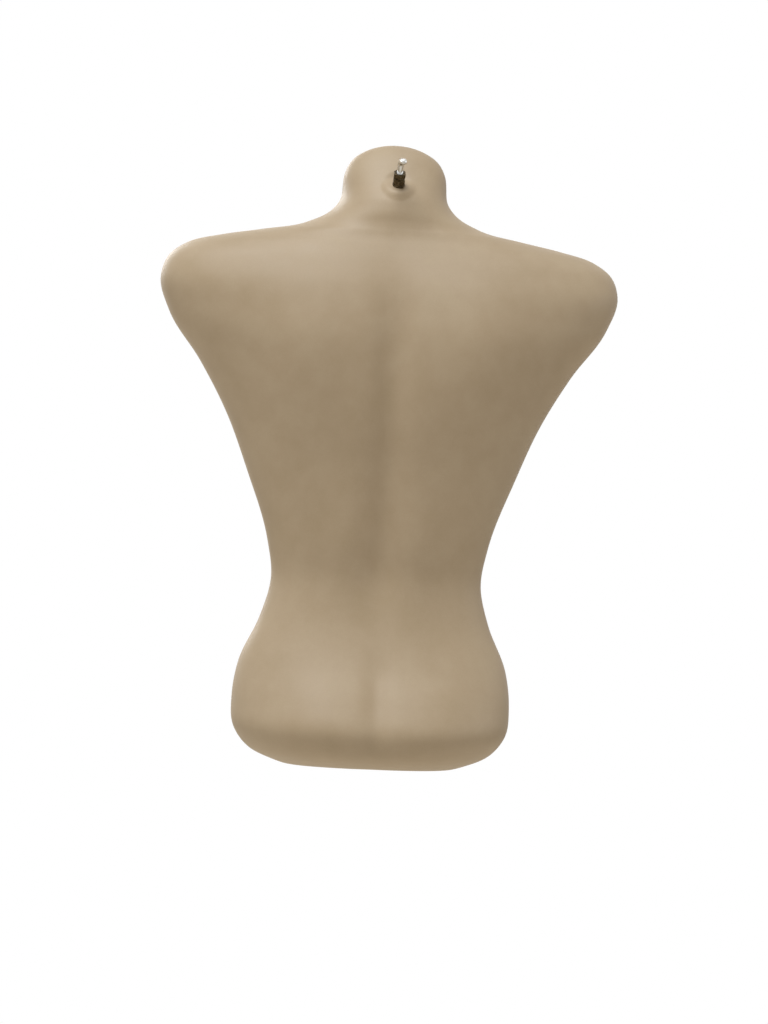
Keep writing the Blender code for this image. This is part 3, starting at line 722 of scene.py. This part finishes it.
# ---------------------------------------------------------------- stage, lamps and camera
def plain_stage(middle):
    """A pale floor below the hanging form, and a white world.  To the camera, glossy and transmitted rays the
    world is white; the light it gives is a soft warm fill.
    """
    world = bpy.data.worlds.new("white_room")
    bpy.context.scene.world = world
    world.use_nodes = True
    tree = world.node_tree
    rays = add(tree, "ShaderNodeLightPath").outputs
    direct, through = rays["Is Camera Ray"], rays["Is Transmission Ray"]
    seen = add(tree, "ShaderNodeMath", {0: direct, 1: through}, operation="MAXIMUM")
    seen = add(tree, "ShaderNodeMath", {0: seen.outputs[0], 1: rays["Is Glossy Ray"]}, operation="MAXIMUM")
    fill = tree.nodes["Background"]
    fill.inputs["Color"].default_value = (*FILL_COLOUR, 1.0)
    fill.inputs["Strength"].default_value = FILL_STRENGTH
    white = add(tree, "ShaderNodeBackground", {"Color": (1, 1, 1, 1), "Strength": 1.0})
    mix = add(tree, "ShaderNodeMixShader", {0: seen.outputs[0], 1: fill.outputs[0], 2: white.outputs[0]})
    tree.links.new(mix.outputs[0], tree.nodes["World Output"].inputs["Surface"])

    mesh = bpy.data.meshes.new("floor")
    low = middle.z - FLOOR_DROP
    size = 6.0
    corners = [(-size, -size, low), (size, -size, low), (size, size, low), (-size, size, low)]
    mesh.from_pydata(corners, [], [(0, 1, 2, 3)])
    floor = bpy.data.objects.new("floor", mesh)
    bpy.context.scene.collection.objects.link(floor)
    pale = bpy.data.materials.new("pale_floor")
    pale.use_nodes = True
    tree = pale.node_tree
    rays = add(tree, "ShaderNodeLightPath").outputs
    shader = tree.nodes["Principled BSDF"]
    shader.inputs["Base Color"].default_value = linear("#f0ebe1")
    shader.inputs["Roughness"].default_value = 0.9
    glow = add(tree, "ShaderNodeEmission", {"Color": (1, 1, 1, 1), "Strength": 1.0})
    where = add(tree, "ShaderNodeTexCoord").outputs["Object"]
    far = add(tree, "ShaderNodeVectorMath", {0: where, 1: (1, 1, 0)}, operation="MULTIPLY")
    far = add(tree, "ShaderNodeVectorMath", {0: far.outputs[0]}, operation="LENGTH").outputs["Value"]
    pure = span(tree, far, 0.2, 1.6, 0.86, 1.0)
    share = add(tree, "ShaderNodeMath", {0: rays["Is Camera Ray"], 1: pure}, operation="MULTIPLY")
    mix = add(tree, "ShaderNodeMixShader", {0: share.outputs[0], 1: shader.outputs[0], 2: glow.outputs[0]})
    tree.links.new(mix.outputs[0], tree.nodes["Material Output"].inputs["Surface"])
    mesh.materials.append(pale)


def area_lamp(name, place, aim, size, power, colour):
    """A square soft lamp at a place, turned to the point it lights."""
    data = bpy.data.lights.new(name, "AREA")
    data.size, data.energy, data.color = size, power, colour
    made = bpy.data.objects.new(name, data)
    bpy.context.scene.collection.objects.link(made)
    made.location = place
    made.rotation_euler = (Vector(aim) - Vector(place)).to_track_quat("-Z", "Y").to_euler()


def place_camera(middle):
    """Level with the body, a little round from straight behind, and rolled as the form hangs askew."""
    data = bpy.data.cameras.new("camera")
    camera = bpy.data.objects.new("camera", data)
    bpy.context.scene.collection.objects.link(camera)
    bpy.context.scene.camera = camera
    data.sensor_width = 36.0
    data.lens = data.sensor_width * CAMERA_DISTANCE / FRAME_TALL
    back = Vector((math.sin(CAMERA_AZIMUTH), -math.cos(CAMERA_AZIMUTH), 0.0))
    right = Vector((0, 0, 1)).cross(back)
    turned = (-back).to_track_quat("-Z", "Y").to_matrix().to_4x4()
    camera.rotation_euler = (turned @ Matrix.Rotation(CAMERA_ROLL, 4, "Z")).to_euler()
    up = Vector((0, 0, 1))
    across = right * math.cos(CAMERA_ROLL) + up * math.sin(CAMERA_ROLL)
    upright = up * math.cos(CAMERA_ROLL) - right * math.sin(CAMERA_ROLL)
    camera.location = middle + back * CAMERA_DISTANCE + across * AIM_ACROSS + upright * AIM_UP


def main():
    plastic = moulded_polypropylene()
    build_shells(plastic)
    build_hardware(chromed_steel(), shade_painted_steel(), zinc_plated_steel())
    middle = Vector((0.0, PARTING, SOLE + HEIGHT / 2))
    plain_stage(middle)
    area_lamp("key_lamp", middle + KEY_PLACE, middle, KEY_SIZE, KEY_POWER, LAMP_COLOUR)
    area_lamp("left_lamp", middle + LEFT_PLACE, middle, SIDE_SIZE, LEFT_POWER, LAMP_COLOUR)
    area_lamp("right_lamp", middle + RIGHT_PLACE, middle, SIDE_SIZE, RIGHT_POWER, LAMP_COLOUR)
    area_lamp("front_lamp", middle + FRONT_PLACE, middle, FRONT_SIZE, FRONT_POWER, LAMP_COLOUR)
    place_camera(middle)
    bpy.context.scene.view_settings.view_transform = "Standard"


main()
